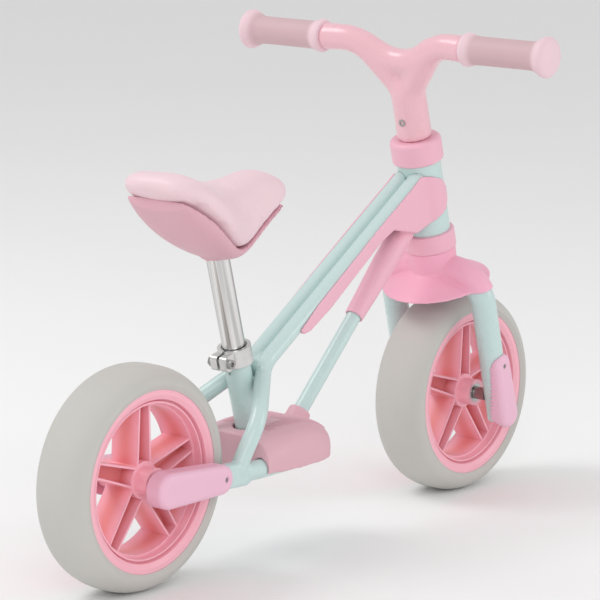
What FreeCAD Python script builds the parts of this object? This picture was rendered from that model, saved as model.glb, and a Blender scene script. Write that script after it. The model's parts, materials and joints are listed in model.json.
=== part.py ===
import FreeCAD, Part
import math
import os

Vec = FreeCAD.Vector
Z_AXIS = Vec(0, 0, 1)
Y_AXIS = Vec(0, 1, 0)
X_AXIS = Vec(1, 0, 0)

# Balance bike. Millimetres. X forward, Y to the rider's left, Z up.
# The origin is on the ground, midway between the axles, on the centre plane.

# ---- driving dimensions ----
WHEELBASE = 573.0
WHEEL_DIAMETER = 240.0
TYRE_WIDTH = 68.0
TYRE_DEPTH = 23.0
TYRE_BORE_DEPTH = 31.5
RIM_WIDTH = 62.0
RIM_FLANGE = 4.0
RIM_WALL = 3.0
SPOKE_COUNT = 5
SPOKE_DEPTH = 36.0
SPOKE_RIB = 2.4
SPOKE_WEB = 3.0
SPOKE_HALF_AT_HUB = 11.0
SPOKE_HALF_AT_RIM = 8.5
HUB_DIAMETER = 40.0
HUB_WIDTH = 69.0
HUB_BOSS_DIAMETER = 31.0
AXLE_DIAMETER = 8.0
BEARING_DIAMETER = 22.0
BEARING_WIDTH = 7.0
AXLE_NUT_FLATS = 13.0
AXLE_NUT_HEIGHT = 6.5

HEAD_LEAN = 15.75
HEAD_TUBE_DIAMETER = 51.0
HEAD_TUBE_WALL = 3.0
HEAD_TUBE_LENGTH = 87.0
COLLAR_DIAMETER = 59.5
UPPER_COLLAR_HEIGHT = 28.0
LOWER_COLLAR_HEIGHT = 21.5
LOWER_COLLAR_BASE = 185.3
STEERER_DIAMETER = 28.6
STEERER_WALL = 2.2

FORK_LEG_DIAMETER = 29.0
FORK_WALL = 1.8
FORK_HALF_SPACING = 64.5
FORK_BEND_RADIUS = 40.0
FORK_TOP = 158.0
FORK_TIP = 27.0
LEG_FLAT_Y = 70.5
FLAT_ABOVE_AXLE = 18.0
CROWN_NECK_DIAMETER = 57.0
CROWN_BRIM_DIAMETER = 127.0
CROWN_BRIM_HEIGHT = 139.0
CROWN_SKIN = 2.6

STEM_DIAMETER = 39.4
BAR_HEIGHT = 441.0
BAR_SETBACK = 11.8
BAR_ARM_DIAMETER = 29.5
BAR_CORE_DIAMETER = 22.0
BAR_HALF_WIDTH = 208.0
GRIP_START = 98.0
GRIP_DIAMETER = 32.5
GRIP_INNER_FLANGE = 38.5
GRIP_END_FLANGE = 46.0
GRIP_END_WALL = 7.0

MAIN_TUBE_DIAMETER = 18.5
MAIN_TUBE_WALL = 1.6
MAIN_TUBE_GAP = 1.0
MAIN_TUBE_SLOPE = 32.4
MAIN_TUBE_BEND = 55.0
DOWN_TUBE_DIAMETER = 17.0
DOWN_TUBE_SLOPE = 44.4
DOWN_SLEEVE_DIAMETER = 28.0
SHELL_SKIN = 2.4

SEAT_LEAN = 16.0
SEAT_TUBE_DIAMETER = 29.0
SEATPOST_DIAMETER = 25.4
SEATPOST_WALL = 1.6
SEATPOST_INSERTION = 66.0
SEAT_TUBE_TOP = 131.5
SEAT_CLAMP_DIAMETER = 37.0
SEAT_CLAMP_HEIGHT = 20.0
SADDLE_SOCKET_HEIGHT = 247.0
SADDLE_BASE_SHARE = 0.86

STAY_PITCH = 2.4
STAY_HEIGHT = 28.0
STAY_THICKNESS = 16.0
STAY_HALF_SPACING = 46.0
STAY_DROP_AT_AXLE = 6.0
STAY_RECESS_Y = 46.5
STAY_RECESS_RADIUS = 10.5
BOW_TUBE_DIAMETER = 21.0
BOW_TUBE_WALL = 1.8
BOW_NOSE_HALF = 32.0
BOW_BEND_RADIUS = 26.0
BOW_START = 126.0
BOW_STRAIGHT = 26.0
BOW_PLUG = 8.0
PLATE_THICKNESS = 4.0
SCREW_HEAD_RADIUS = 3.8
SCREW_HEAD_HEIGHT = 2.0
END_COVER_SKIN = 3.2
REAR_COVER_LENGTH = 118.0
FRONT_COVER_HEIGHT = 94.0

FOOTREST_LENGTH = 151.0
FOOTREST_REAR_HALF = 60.0
FOOTREST_CROWN = 41.0
FOOTREST_SKIN = 3.0

# ---- clearances ----
RUNNING = 0.05
BUSH_RUNNING = 0.08
SIDE_GAP = 0.4
SADDLE_SEAM = 3.4
SKIN_GAP = 0.2
FOOTREST_TUBE_GAP = 0.8
SEAT_TUBE_HOLE_GAP = 2.6
NUT_ROOM_GAP = 1.5

# ---- places worked out from the driving dimensions ----
WHEEL_RADIUS = WHEEL_DIAMETER / 2
FRONT_X = WHEELBASE / 2
REAR_X = -WHEELBASE / 2
RIM_RADIUS = WHEEL_RADIUS - TYRE_DEPTH
SEAT_RADIUS = WHEEL_RADIUS - TYRE_BORE_DEPTH
BARREL_RADIUS = SEAT_RADIUS - RIM_WALL
HEAD_BASE = LOWER_COLLAR_BASE + LOWER_COLLAR_HEIGHT
HEAD_TOP = HEAD_BASE + HEAD_TUBE_LENGTH
STEM_BASE = HEAD_TOP + UPPER_COLLAR_HEIGHT + SIDE_GAP
STEM_BORE_DEPTH = 58.0
STEERER_RADIUS = STEERER_DIAMETER / 2
LEG_RADIUS = FORK_LEG_DIAMETER / 2
MAIN_RADIUS = MAIN_TUBE_DIAMETER / 2
MAIN_HALF_SPACING = MAIN_RADIUS + MAIN_TUBE_GAP / 2
SEAT_TUBE_RADIUS = SEAT_TUBE_DIAMETER / 2
SEATPOST_RADIUS = SEATPOST_DIAMETER / 2

STEERING = FreeCAD.Placement(
    Vec(FRONT_X, 0, WHEEL_RADIUS), FreeCAD.Rotation(Y_AXIS, -HEAD_LEAN)
)
STAYS = FreeCAD.Placement(
    Vec(REAR_X, 0, WHEEL_RADIUS - STAY_DROP_AT_AXLE),
    FreeCAD.Rotation(Y_AXIS, STAY_PITCH),
)
# The seat tube's frame has its origin on the stays' plane, with Z up along the tube.
SEAT_FOOT_ALONG = 202.0
SEAT_FOOT = STAYS.multVec(Vec(SEAT_FOOT_ALONG, 0, 0))
SEAT = FreeCAD.Placement(SEAT_FOOT, FreeCAD.Rotation(Y_AXIS, -SEAT_LEAN))
SIDES = (("left", 1), ("right", -1))


# ---- helpers ----
def placed(shape, placement):
    """The shape moved from a local frame into the bike's frame."""
    moved = shape.copy()
    moved.Placement = placement.multiply(moved.Placement)
    return moved


def cylinder(radius, height, base, direction=Z_AXIS):
    return Part.makeCylinder(radius, height, base, direction)


def ring(outer, inner, height, base, direction=Z_AXIS):
    overshoot = direction * 1.0
    bore = cylinder(inner, height + 2, base - overshoot, direction)
    return cylinder(outer, height, base, direction).cut(bore)


def cross_bar(radius, half_length, x, z):
    """Cylinder along Y, centred on the centre plane."""
    return cylinder(radius, 2 * half_length, Vec(x, -half_length, z), Y_AXIS)


def revolved(points, axis_point, axis):
    """Solid of revolution of a closed polygon."""
    face = Part.Face(Part.makePolygon(points + [points[0]]))
    return face.revolve(axis_point, axis, 360)


def bent_path(points, bend_radius):
    """Straight runs joined by tangent arcs of one radius."""
    edges = []
    start = points[0]
    for before, corner, after in zip(points, points[1:], points[2:]):
        into = (corner - before).normalize()
        out = (after - corner).normalize()
        half_turn = into.getAngle(out) / 2
        setback = bend_radius * math.tan(half_turn)
        arc_start = corner - into * setback
        arc_end = corner + out * setback
        inward = (out - into).normalize()
        middle = corner + inward * (bend_radius / math.cos(half_turn) - bend_radius)
        edges.append(Part.LineSegment(start, arc_start).toShape())
        edges.append(Part.Arc(arc_start, middle, arc_end).toShape())
        start = arc_end
    edges.append(Part.LineSegment(start, points[-1]).toShape())
    return Part.Wire(edges)


def rod_along(path, radius):
    """Round bar swept along a path."""
    first = path.Edges[0]
    start = first.valueAt(first.FirstParameter)
    direction = first.tangentAt(first.FirstParameter)
    circle = Part.Wire([Part.makeCircle(radius, start, direction)])
    return path.makePipeShell([circle], True, False)


def tube_along(path, radius, wall):
    return rod_along(path, radius).cut(rod_along(path, radius - wall))


def slab(points, thickness, y_start):
    """Polygon in the XZ plane, extruded along +Y from y_start."""
    corners = [Vec(x, y_start, z) for x, z in points]
    face = Part.Face(Part.makePolygon(corners + [corners[0]]))
    return face.extrude(Vec(0, thickness, 0))


def capsule(start, end, radius_start, radius_end, thickness, y_start):
    """Tongue shape in the XZ plane round two points, extruded along +Y."""
    run = Vec(end[0] - start[0], 0, end[1] - start[1])
    length = run.Length
    angle = math.degrees(math.atan2(run.z, run.x))
    lean = math.asin((radius_start - radius_end) / length)
    points = []
    for centre, radius, turn in ((0.0, radius_start, 1), (length, radius_end, -1)):
        for side in (1, -1):
            at = side * turn * (math.pi / 2 - lean)
            points.append(Vec(centre + radius * math.cos(at), 0, radius * math.sin(at)))
    upper_start, lower_start, lower_end, upper_end = points
    edges = [
        Part.LineSegment(upper_start, upper_end).toShape(),
        Part.Arc(upper_end, Vec(length + radius_end, 0, 0), lower_end).toShape(),
        Part.LineSegment(lower_end, lower_start).toShape(),
        Part.Arc(lower_start, Vec(-radius_start, 0, 0), upper_start).toShape(),
    ]
    body = Part.Face(Part.Wire(edges)).extrude(Vec(0, thickness, 0))
    body.rotate(Vec(0, 0, 0), Y_AXIS, -angle)
    body.translate(Vec(start[0], y_start, start[1]))
    return body


def edges_where(shape, test):
    return [e for e in shape.Edges if test(e.BoundBox)]


def mirrored(shape):
    return shape.mirror(Vec(0, 0, 0), Y_AXIS)


def on_side(shape, side):
    """The left-hand shape as it is, or mirrored for the right-hand side."""
    return shape if side > 0 else mirrored(shape)


def hex_nut(flats, height, bore_radius, base, direction):
    """Hexagonal nut along the direction, which is +Y or -Y."""
    across = flats / math.sqrt(3)
    corners = []
    for k in range(7):
        turn = math.radians(60 * k)
        offset = Vec(across * math.cos(turn), 0, across * math.sin(turn))
        corners.append(base + offset)
    body = Part.Face(Part.makePolygon(corners)).extrude(direction * height)
    hole = cylinder(bore_radius, height + 2, base - direction, direction)
    return body.cut(hole)


def cap_screw(shank_radius, shank_length, head_radius, head_height, seat, direction):
    """Socket-head screw: the head stands on the seat along the direction."""
    head = cylinder(head_radius, head_height, seat, direction)
    socket_depth = head_height * 0.6
    socket_base = seat + direction * (head_height - socket_depth)
    socket = cylinder(head_radius * 0.5, socket_depth + 1, socket_base, direction)
    shank = cylinder(shank_radius, shank_length, seat, direction * -1)
    return head.cut(socket).fuse(shank)


def save(name, shape):
    shape.exportStep("parts/" + name + ".step")


# ---- wheels ----
def tyre_solid():
    """Foam tyre: a crowned ring that narrows to the rim's flange."""
    half = TYRE_WIDTH / 2
    crown_flat = 6.0
    shoulder_y = half - crown_flat
    shoulder_z = 18.0
    flange_inner = RIM_WIDTH / 2 - RIM_FLANGE
    foot_y = RIM_WIDTH / 2 + 0.6
    outline = []
    for k in range(9):
        turn = math.radians(90 * k / 8)
        y = crown_flat + shoulder_y * math.sin(turn)
        z = WHEEL_RADIUS - shoulder_z + shoulder_z * math.cos(turn)
        outline.append((y, z))
    outline.append((foot_y, RIM_RADIUS))
    outline.append((flange_inner, RIM_RADIUS))
    outline.append((flange_inner, SEAT_RADIUS))
    points = [Vec(0, y, z) for y, z in outline]
    points += [Vec(0, -y, z) for y, z in reversed(outline)]
    curve_left = Part.BSplineCurve()
    curve_left.interpolate(points[0:9])
    curve_right = Part.BSplineCurve()
    curve_right.interpolate(points[-9:])
    edges = [curve_left.toShape()]
    for a, b in zip(points[8:15], points[9:16]):
        edges.append(Part.LineSegment(a, b).toShape())
    edges.append(curve_right.toShape())
    edges.append(Part.LineSegment(points[-1], points[0]).toShape())
    face = Part.Face(Part.Wire(edges))
    return face.revolve(Vec(0, 0, 0), Y_AXIS, 360)


def rim_solid():
    """Moulded rim: barrel with stepped lips, and hollow spokes on a hub."""
    half = RIM_WIDTH / 2
    spoke_half = SPOKE_DEPTH / 2
    window = BARREL_RADIUS - 7.0
    flange_inner = half - RIM_FLANGE
    groove_y = half - 8.0
    profile = [
        (half, RIM_RADIUS),
        (half, RIM_RADIUS - 5.5),
        (half - 2.5, SEAT_RADIUS - 2.0),
        (groove_y, SEAT_RADIUS - 2.5),
        (groove_y, SEAT_RADIUS - 4.0),
        (groove_y + 3.0, SEAT_RADIUS - 4.5),
        (groove_y + 3.0, SEAT_RADIUS - 6.5),
        (spoke_half, window + 3.0),
        (spoke_half, window),
    ]
    inner = [Vec(0, y, z) for y, z in profile]
    inner += [Vec(0, -y, z) for y, z in reversed(profile)]
    outer = [
        Vec(0, -half, RIM_RADIUS),
        Vec(0, -flange_inner, RIM_RADIUS),
        Vec(0, -flange_inner, SEAT_RADIUS),
        Vec(0, flange_inner, SEAT_RADIUS),
        Vec(0, flange_inner, RIM_RADIUS),
    ]
    barrel = revolved(inner + outer[1:], Vec(0, 0, 0), Y_AXIS)
    hub = cross_bar(HUB_DIAMETER / 2, spoke_half, 0, 0)
    hub = hub.fuse(cross_bar(HUB_BOSS_DIAMETER / 2, HUB_WIDTH / 2, 0, 0))
    body = barrel.fuse(hub)
    start = HUB_DIAMETER / 2 - 5.0
    end = window + 1.5
    for k in range(SPOKE_COUNT):
        turn = 360.0 / SPOKE_COUNT * k
        ribs = []
        for side in (1, -1):
            near = SPOKE_HALF_AT_HUB * side
            far = SPOKE_HALF_AT_RIM * side
            wall = SPOKE_RIB * side
            outline = [
                (near, start),
                (far, end),
                (far - wall, end),
                (near - wall, start),
            ]
            ribs.append(slab(outline, SPOKE_DEPTH, -spoke_half))
        web_half_near = SPOKE_HALF_AT_HUB - SPOKE_RIB / 2
        web_half_far = SPOKE_HALF_AT_RIM - SPOKE_RIB / 2
        web_outline = [
            (-web_half_near, start),
            (-web_half_far, end),
            (web_half_far, end),
            (web_half_near, start),
        ]
        spoke = slab(web_outline, SPOKE_WEB, -SPOKE_WEB / 2).multiFuse(ribs)
        spoke.rotate(Vec(0, 0, 0), Y_AXIS, turn)
        body = body.fuse(spoke)
    bore = cross_bar(AXLE_DIAMETER / 2 + 2.0, HUB_WIDTH, 0, 0)
    body = body.cut(bore)
    for side in (1, -1):
        seat_y = side * (HUB_WIDTH / 2 - BEARING_WIDTH)
        pocket = cylinder(
            BEARING_DIAMETER / 2, BEARING_WIDTH + 1, Vec(0, seat_y, 0), Y_AXIS * side
        )
        body = body.cut(pocket)
    return body.removeSplitter()


def bearing_pair():
    """Two wheel bearings, one in each end of the hub."""
    rings = []
    for side in (1, -1):
        base = Vec(0, side * (HUB_WIDTH / 2 - BEARING_WIDTH), 0)
        direction = Y_AXIS * side
        inner_radius = AXLE_DIAMETER / 2 + RUNNING
        rings.append(
            ring(BEARING_DIAMETER / 2, inner_radius, BEARING_WIDTH, base, direction)
        )
    return Part.makeCompound(rings)


def build_wheel(name, x):
    spot = FreeCAD.Placement(Vec(x, 0, WHEEL_RADIUS), FreeCAD.Rotation())
    save(name + "_tyre", placed(tyre_solid(), spot))
    save(name + "_rim", placed(rim_solid(), spot))
    save(name + "_wheel_bearings", placed(bearing_pair(), spot))


# ---- axles: local frame of each wheel, X forward, Z up ----
def axle_set(name, inner_face, outer_face, spot):
    """Axle rod, its nuts, and the spacers between hub and frame."""
    radius = AXLE_DIAMETER / 2
    thread_end = outer_face + AXLE_NUT_HEIGHT + 2.0
    save(name + "_axle", placed(cross_bar(radius, thread_end, 0, 0), spot))
    nuts = []
    spacers = []
    hub_face = HUB_WIDTH / 2 + SIDE_GAP
    for side in (1, -1):
        direction = Y_AXIS * side
        nut_base = Vec(0, side * outer_face, 0)
        nuts.append(
            hex_nut(AXLE_NUT_FLATS, AXLE_NUT_HEIGHT, radius, nut_base, direction)
        )
        spacer_base = Vec(0, side * hub_face, 0)
        length = inner_face - hub_face
        spacers.append(ring(radius + 3.5, radius, length, spacer_base, direction))
    save(name + "_axle_nuts", placed(Part.makeCompound(nuts), spot))
    save(name + "_axle_spacers", placed(Part.makeCompound(spacers), spot))


# ---- steering: local frame at the front axle, Z up the steering axis ----
def fork_leg_path():
    return bent_path(
        [
            Vec(0, 0, FORK_TOP),
            Vec(0, FORK_HALF_SPACING, FORK_TOP),
            Vec(0, FORK_HALF_SPACING, -FORK_TIP),
        ],
        FORK_BEND_RADIUS,
    )


def build_steering():
    crown_radius = STEERER_RADIUS + 5.0
    crown_half_height = LEG_RADIUS + 3.0
    crown_base = FORK_TOP - crown_half_height
    steerer_top = STEM_BASE + STEM_BORE_DEPTH - 2.0
    steerer = ring(
        STEERER_RADIUS,
        STEERER_RADIUS - STEERER_WALL,
        steerer_top - crown_base,
        Vec(0, 0, crown_base),
    )
    crown = ring(
        crown_radius, STEERER_RADIUS, 2 * crown_half_height, Vec(0, 0, crown_base)
    )
    crown_block = cylinder(crown_radius, 2 * crown_half_height, Vec(0, 0, crown_base))
    save("fork_steerer", placed(steerer, STEERING))
    save("fork_crown", placed(crown, STEERING))

    path = fork_leg_path()
    axle_hole = cross_bar(AXLE_DIAMETER / 2, 2 * FORK_HALF_SPACING, 0, 0)
    leg = tube_along(path, LEG_RADIUS, FORK_WALL).cut(crown_block)
    plug_base = Vec(0, FORK_HALF_SPACING, -FORK_TIP)
    leg = leg.fuse(cylinder(LEG_RADIUS - FORK_WALL, FORK_TIP + FLAT_ABOVE_AXLE, plug_base))
    flat = Part.makeBox(60, 60, 100, Vec(-30, LEG_FLAT_Y, FLAT_ABOVE_AXLE - 100))
    leg = leg.cut(flat).cut(axle_hole)
    for name, side in SIDES:
        save("fork_leg_" + name, placed(on_side(leg, side), STEERING))

    save("fork_crown_cover", placed(crown_cover(crown_block), STEERING))

    flat_inner = FORK_HALF_SPACING - LEG_RADIUS
    axle_set("front", flat_inner, LEG_FLAT_Y, FreeCAD.Placement(
        Vec(FRONT_X, 0, WHEEL_RADIUS), FreeCAD.Rotation(Y_AXIS, -HEAD_LEAN)))
    build_fork_end_covers(LEG_FLAT_Y)
    build_handlebar()


def crown_cover(crown_block):
    """Hat over the fork crown: neck, flared brim and a hood over each leg."""
    neck = CROWN_NECK_DIAMETER / 2
    brim = CROWN_BRIM_DIAMETER / 2
    top = LOWER_COLLAR_BASE - SIDE_GAP
    brim_top = CROWN_BRIM_HEIGHT + CROWN_SKIN
    flare_top = CROWN_BRIM_HEIGHT + 19.0
    outer = [
        Vec(0, 0, top),
        Vec(neck, 0, top),
        Vec(neck - 1.0, 0, flare_top),
        Vec(brim, 0, brim_top),
        Vec(brim, 0, CROWN_BRIM_HEIGHT),
        Vec(0, 0, CROWN_BRIM_HEIGHT),
    ]
    hat = revolved(outer, Vec(0, 0, 0), Z_AXIS)
    hood_path = bent_path(
        [
            Vec(0, 0, FORK_TOP),
            Vec(0, FORK_HALF_SPACING, FORK_TOP),
            Vec(0, FORK_HALF_SPACING, CROWN_BRIM_HEIGHT - 60.0),
        ],
        FORK_BEND_RADIUS,
    )
    hood = rod_along(hood_path, LEG_RADIUS + SKIN_GAP + CROWN_SKIN)
    keep = Part.makeBox(200, 200, 60, Vec(-100, -100, CROWN_BRIM_HEIGHT))
    hood = hood.common(keep)
    hat = hat.fuse(hood).fuse(mirrored(hood))
    cavity_top = FORK_TOP + LEG_RADIUS + 3.0 + SKIN_GAP
    cavity = revolved(
        [
            Vec(0, 0, cavity_top),
            Vec(neck - CROWN_SKIN, 0, cavity_top),
            Vec(neck - CROWN_SKIN, 0, flare_top - CROWN_SKIN),
            Vec(brim + 1.0, 0, CROWN_BRIM_HEIGHT - 0.4),
            Vec(brim + 1.0, 0, CROWN_BRIM_HEIGHT - 5.0),
            Vec(0, 0, CROWN_BRIM_HEIGHT - 5.0),
        ],
        Vec(0, 0, 0),
        Z_AXIS,
    )
    room = rod_along(fork_leg_path(), LEG_RADIUS + SKIN_GAP)
    hat = hat.cut(cavity).cut(room).cut(mirrored(room))
    steerer_room = cylinder(STEERER_RADIUS + SKIN_GAP, 60, Vec(0, 0, FORK_TOP))
    return hat.cut(steerer_room).cut(crown_block).removeSplitter()


def build_fork_end_covers(flat_outer):
    """Plastic covers over the outside of the leg ends and the axle nuts."""
    radius_top = LEG_RADIUS - 0.5
    radius_bottom = LEG_RADIUS + 1.5
    bottom = -FORK_TIP - 10.0 + radius_bottom
    top = bottom + FRONT_COVER_HEIGHT - radius_top - radius_bottom
    outer_face = flat_outer + AXLE_NUT_HEIGHT + 3.0 + END_COVER_SKIN
    inner_face = FORK_HALF_SPACING - 1.0
    body = capsule(
        (0, bottom), (0, top), radius_bottom, radius_top,
        outer_face - inner_face, inner_face,
    )
    body = body.makeFillet(7.0, edges_where(body, lambda b: b.YMin > outer_face - 0.1))
    leg_room = cylinder(LEG_RADIUS + SKIN_GAP, 300, Vec(0, FORK_HALF_SPACING, -100))
    flat_room = Part.makeBox(80, 40, 200, Vec(-40, LEG_FLAT_Y, FLAT_ABOVE_AXLE - 200))
    body = body.cut(leg_room.cut(flat_room))
    nut_room_radius = AXLE_NUT_FLATS / math.sqrt(3) + NUT_ROOM_GAP
    nut_room = cylinder(nut_room_radius, AXLE_NUT_HEIGHT + 2.8, Vec(0, flat_outer - 0.2, 0), Y_AXIS)
    body = body.cut(nut_room)
    screw_z = top - 1.0
    screw_seat = FORK_HALF_SPACING + LEG_RADIUS + 1.6
    deep = cylinder(3.2, 40, Vec(0, screw_seat, screw_z), Y_AXIS)
    narrow = cylinder(1.7, 40, Vec(0, FORK_HALF_SPACING, screw_z), Y_AXIS)
    body = body.cut(deep).cut(narrow)
    screws = []
    for name, side in SIDES:
        save("fork_end_cover_" + name, placed(on_side(body, side), STEERING))
        seat = Vec(0, side * screw_seat, screw_z)
        screws.append(cap_screw(1.7, 1.4, 3.0, 1.4, seat, Y_AXIS * side))
    group = Part.makeCompound(screws)
    save("fork_cover_screws", placed(group, STEERING))


def handlebar_solid():
    """One-piece bar: a stem that parts into two swept arms, with a web between."""
    stem_radius = STEM_DIAMETER / 2
    arm_radius = BAR_ARM_DIAMETER / 2
    stem_top = BAR_HEIGHT - 62.0
    parting = 4.0
    shoulder_y = 52.0
    stem = cylinder(stem_radius, stem_top - STEM_BASE, Vec(0, 0, STEM_BASE))
    stem = stem.fuse(Part.makeSphere(stem_radius, Vec(0, 0, stem_top)))
    arm_path = bent_path(
        [
            Vec(0, parting, STEM_BASE + STEM_BORE_DEPTH - 34.0),
            Vec(0, parting, stem_top),
            Vec(-BAR_SETBACK * 0.6, shoulder_y, BAR_HEIGHT),
            Vec(-BAR_SETBACK, GRIP_START, BAR_HEIGHT),
        ],
        48.0,
    )
    arm_span = Part.makeBox(200, GRIP_START, 400, Vec(-100, 0, STEM_BASE - 50))
    arm = rod_along(arm_path, arm_radius).common(arm_span)
    web_path = bent_path(
        [
            Vec(-BAR_SETBACK * 0.6, shoulder_y - 2.0, BAR_HEIGHT - 4.0),
            Vec(-BAR_SETBACK * 0.2, 0, BAR_HEIGHT - 36.0),
            Vec(-BAR_SETBACK * 0.6, -shoulder_y + 2.0, BAR_HEIGHT - 4.0),
        ],
        60.0,
    )
    web = rod_along(web_path, arm_radius - 1.2)
    core_length = BAR_HALF_WIDTH - GRIP_START + 6.0
    core_base = Vec(-BAR_SETBACK, GRIP_START - 6.0, BAR_HEIGHT)
    core = cylinder(BAR_CORE_DIAMETER / 2, core_length, core_base, Y_AXIS)
    half_body = arm.fuse(core)
    body = stem.fuse(half_body).fuse(mirrored(half_body)).fuse(web)
    bore = cylinder(STEERER_RADIUS, STEM_BORE_DEPTH, Vec(0, 0, STEM_BASE))
    return body.cut(bore)


def build_handlebar():
    stem_radius = STEM_DIAMETER / 2
    bolt_z = STEM_BASE + 24.0
    bar = handlebar_solid()
    bolt_room = cylinder(3.0, stem_radius, Vec(-stem_radius - 1, 0, bolt_z), X_AXIS)
    head_room = cylinder(4.6, 4.0, Vec(-stem_radius - 1.5, 0, bolt_z), X_AXIS)
    bar = bar.cut(bolt_room).cut(head_room)
    save("handlebar", placed(bar, STEERING))
    seat = Vec(-stem_radius + 2.5, 0, bolt_z)
    bolt = cap_screw(3.0, 2.0, 4.4, 3.0, seat, X_AXIS * -1)
    save("stem_bolt", placed(bolt, STEERING))

    grip = grip_solid()
    for name, side in SIDES:
        save("grip_" + name, placed(on_side(grip, side), STEERING))


def grip_solid():
    """Sleeve with a thin inner flange and a domed end flange."""
    radius = GRIP_DIAMETER / 2
    inner = GRIP_INNER_FLANGE / 2
    end = GRIP_END_FLANGE / 2
    y0 = GRIP_START
    y1 = BAR_HALF_WIDTH
    y2 = BAR_HALF_WIDTH + GRIP_END_WALL
    core = BAR_CORE_DIAMETER / 2
    outline = [
        (core, y0),
        (inner - 1.5, y0),
        (inner, y0 + 2.0),
        (inner - 0.5, y0 + 5.0),
        (radius, y0 + 9.0),
        (radius, y1 - 11.0),
        (end - 1.5, y1 - 6.0),
        (end, y1 - 2.0),
        (end - 0.5, y2 - 4.5),
        (end - 5.0, y2 - 1.2),
        (0.0, y2),
        (0.0, y1),
        (core, y1),
    ]
    points = [Vec(-BAR_SETBACK + r, y, BAR_HEIGHT) for r, y in outline]
    return revolved(points, Vec(-BAR_SETBACK, 0, BAR_HEIGHT), Y_AXIS)


# ---- head tube and its covers, in the steering frame ----
def build_head():
    bore = HEAD_TUBE_DIAMETER / 2 - HEAD_TUBE_WALL
    tube = ring(HEAD_TUBE_DIAMETER / 2, bore, HEAD_TUBE_LENGTH, Vec(0, 0, HEAD_BASE))
    save("head_tube", placed(tube, STEERING))

    radius = COLLAR_DIAMETER / 2
    hole = STEERER_RADIUS + 1.0
    upper = ring(radius, hole, UPPER_COLLAR_HEIGHT, Vec(0, 0, HEAD_TOP))
    top = HEAD_TOP + UPPER_COLLAR_HEIGHT
    upper = upper.makeFillet(
        5.0, edges_where(upper, lambda b: b.ZMin > top - 0.1 and b.XMax > radius - 0.1)
    )
    upper = upper.makeFillet(
        2.5,
        edges_where(upper, lambda b: b.ZMax < HEAD_TOP + 0.1 and b.XMax > radius - 0.1),
    )
    save("upper_headset_cover", placed(upper, STEERING))
    lower = ring(radius, hole, LOWER_COLLAR_HEIGHT, Vec(0, 0, LOWER_COLLAR_BASE))
    lower = lower.makeFillet(
        2.5,
        edges_where(lower, lambda b: b.ZMin > HEAD_BASE - 0.1 and b.XMax > radius - 0.1),
    )
    save("lower_headset_cover", placed(lower, STEERING))

    bush_length = 14.0
    bush_bore = STEERER_RADIUS + BUSH_RUNNING
    for name, base in (
        ("upper", HEAD_TOP - bush_length),
        ("lower", HEAD_BASE),
    ):
        bush = ring(bore, bush_bore, bush_length, Vec(0, 0, base))
        save(name + "_headset_bush", placed(bush, STEERING))


# ---- main frame ----
def main_tube_points():
    """Centreline of the left main tube, from the head tube to the stay."""
    y = MAIN_HALF_SPACING
    slope = math.tan(math.radians(MAIN_TUBE_SLOPE))
    head = STEERING.multVec(Vec(0, 0, HEAD_TOP - 9.0))
    spread = SEAT_FOOT + Vec(2.5, 0, 0)
    spread_z = head.z - (head.x - spread.x) * slope
    foot = STAYS.multVec(Vec(116.0, STAY_HALF_SPACING, 2.0))
    knee = foot + Vec(33.0, 3.0, 52.0)
    return [
        Vec(head.x, y, head.z),
        Vec(spread.x, y, spread_z),
        knee,
        foot,
    ]


def main_tube_rods(gap):
    """Both main tubes as one solid pair, fatter by the gap."""
    rod = rod_along(bent_path(main_tube_points(), MAIN_TUBE_BEND), MAIN_RADIUS + gap)
    return rod, mirrored(rod)


def down_tube_ends():
    """Top on the steering axis and foot on the bottom plate."""
    top = STEERING.multVec(Vec(0, 0, HEAD_BASE + 43.7))
    slope = math.tan(math.radians(DOWN_TUBE_SLOPE))
    run = top.x - SEAT_FOOT.x - 58.0
    return top, Vec(top.x - run, 0, top.z - run * slope)


def head_block(gap):
    height = HEAD_TUBE_LENGTH + 60.0
    rod = cylinder(HEAD_TUBE_DIAMETER / 2 + gap, height, Vec(0, 0, HEAD_BASE - 30.0))
    return placed(rod, STEERING)


def stay_blank():
    """Outer solid of the left stay, flattened, in the stays' frame."""
    radius = STAY_HEIGHT / 2
    body = capsule(
        (0, 0), (BOW_START, 0), radius, radius - 0.5, STAY_THICKNESS,
        STAY_HALF_SPACING - STAY_THICKNESS / 2,
    )
    return body.makeFillet(5.0, edges_where(body, lambda b: b.YLength < 0.1))


def bow_path():
    half = STAY_HALF_SPACING
    nose = SEAT_FOOT_ALONG + 86.0
    turn_in = BOW_START + BOW_STRAIGHT
    return bent_path(
        [
            Vec(BOW_START, half, 0),
            Vec(turn_in, half, 0),
            Vec(nose, BOW_NOSE_HALF, 0),
            Vec(nose, -BOW_NOSE_HALF, 0),
            Vec(turn_in, -half, 0),
            Vec(BOW_START, -half, 0),
        ],
        BOW_BEND_RADIUS,
    )


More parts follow.
